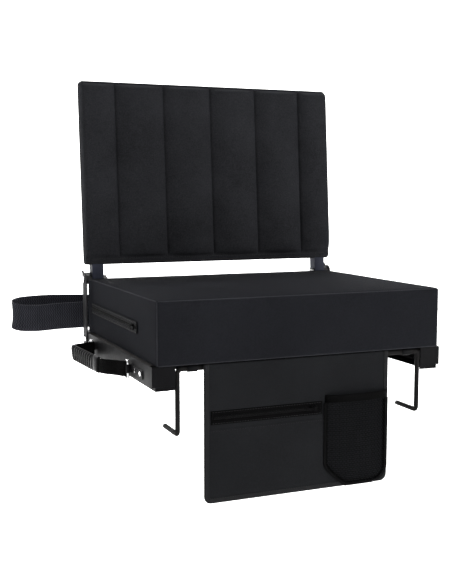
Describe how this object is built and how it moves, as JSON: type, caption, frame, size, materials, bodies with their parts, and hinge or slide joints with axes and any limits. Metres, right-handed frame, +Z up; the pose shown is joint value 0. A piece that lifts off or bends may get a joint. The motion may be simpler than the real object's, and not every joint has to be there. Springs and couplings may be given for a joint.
{
  "type": "folding stadium seat",
  "caption": "Folding padded bench seat with a fold-down back, bench hooks, carry handle, shoulder strap and a hanging storage flap.",
  "frame": {"origin": "middle of the steel frame's underside, on the face that rests on the bench", "axes": "+X to the right as seen from the front, -Y the front the sitter faces, +Z up"},
  "size_m": [0.6566, 0.4864, 0.696],
  "materials": {
    "frame_steel": "black powder coat, slightly textured",
    "tube_paint": "blue-black satin enamel",
    "hook_steel": "black coat",
    "zinc_steel": "zinc plated",
    "chrome_metal": "polished",
    "board_wood": "plywood stained black",
    "black_nylon": "moulded",
    "seat_fabric": "coated polyester weave",
    "back_fabric": "coated polyester weave",
    "flap_fabric": "coated polyester weave",
    "foam": "open cell foam",
    "webbing": "polypropylene webbing",
    "grip_rubber": "moulded, ribbed",
    "zip_tape": "woven tape with coil",
    "zip_metal": "black enamel",
    "binding_tape": "grosgrain",
    "pocket_mesh": "stretch mesh",
    "elastic": "woven elastic"
  },
  "bodies": {
    "frame": {"left_side_rail": "frame_steel", "right_side_rail": "frame_steel", "rear_cross_rail": "frame_steel", "centre_cross_bar": "frame_steel", "seat_board": "board_wood", "board_screws": "zinc_steel", "clip_screws": "zinc_steel", "seat_cushion": "seat_fabric", "seat_zip_tape": "zip_tape", "left_hinge_bracket": "frame_steel", "right_hinge_bracket": "frame_steel", "bracket_rivets": "chrome_metal", "pivot_bolts": "chrome_metal", "pivot_spacers": "black_nylon", "pivot_lock_nuts": "zinc_steel", "back_stop_pins": "zinc_steel", "hook_clips": "frame_steel", "handle_plates": "frame_steel", "plate_rivets": "chrome_metal", "strap_anchors": "frame_steel", "strap_rivets": "zinc_steel", "shoulder_strap": "webbing"},
    "back": {"left_upright": "tube_paint", "right_upright": "tube_paint", "top_cross_tube": "tube_paint", "lower_cross_tube": "tube_paint", "upright_end_caps": "black_nylon", "upright_bushes": "black_nylon", "back_cover": "back_fabric", "back_foam": "foam"},
    "hooks": {"hook_rod": "hook_steel"},
    "handle": {"handle_webbing": "webbing", "handle_grip": "grip_rubber"},
    "front_ring": {"front_handle_ring": "chrome_metal"},
    "rear_ring": {"rear_handle_ring": "chrome_metal"},
    "seat_slider": {"seat_zip_slider": "zip_metal"},
    "seat_pull": {"seat_zip_pull": "zip_metal"},
    "flap": {"flap_panel": "flap_fabric", "flap_binding": "binding_tape", "flap_zip_tape": "zip_tape", "mesh_pocket": "pocket_mesh", "pocket_band": "elastic", "pocket_hem": "binding_tape"},
    "flap_slider": {"flap_zip_slider": "zip_metal"},
    "flap_pull": {"flap_zip_pull": "zip_metal"}
  },
  "joints": [
    {"name": "back_fold", "type": "hinge", "parent": "frame", "child": "back", "pos_m": [0, 0.21, 0.1375], "axis": [1, 0, 0], "range_deg": [0, 94.5], "deforming": ["seat_cushion"]},
    {"name": "hook_swing", "type": "hinge", "parent": "frame", "child": "hooks", "pos_m": [0, -0.189, 0.032], "axis": [1, 0, 0], "range_deg": [-75, 50]},
    {"name": "handle_swing", "type": "hinge", "parent": "frame", "child": "handle", "pos_m": [-0.2665, 0.03, 0.017], "axis": [0, 1, 0], "range_deg": [-60, 55], "deforming": ["handle_webbing"]},
    {"name": "front_ring_swing", "type": "hinge", "parent": "frame", "child": "front_ring", "pos_m": [-0.2665, -0.089, 0.017], "axis": [0, 0, 1], "range_deg": [-15, 35]},
    {"name": "rear_ring_swing", "type": "hinge", "parent": "frame", "child": "rear_ring", "pos_m": [-0.2665, 0.149, 0.017], "axis": [0, 0, -1], "range_deg": [-15, 35]},
    {"name": "seat_zip_slide", "type": "slide", "parent": "frame", "child": "seat_slider", "axis": [0, 1, 0], "range_m": [0, 0.255]},
    {"name": "seat_pull_swing", "type": "hinge", "parent": "seat_slider", "child": "seat_pull", "pos_m": [-0.2599, -0.082, 0.086], "axis": [0, 0, -1], "range_deg": [0, 165]},
    {"name": "flap_swing", "type": "hinge", "parent": "frame", "child": "flap", "pos_m": [0, -0.196, 0.0375], "axis": [-1, 0, 0], "range_deg": [0, 150]},
    {"name": "flap_zip_slide", "type": "slide", "parent": "flap", "child": "flap_slider", "axis": [-1, 0, 0], "range_m": [0, 0.165]},
    {"name": "flap_pull_swing", "type": "hinge", "parent": "flap_slider", "child": "flap_pull", "pos_m": [0.014, -0.2032, -0.048], "axis": [0, 0, 1], "range_deg": [0, 165]}
  ]
}
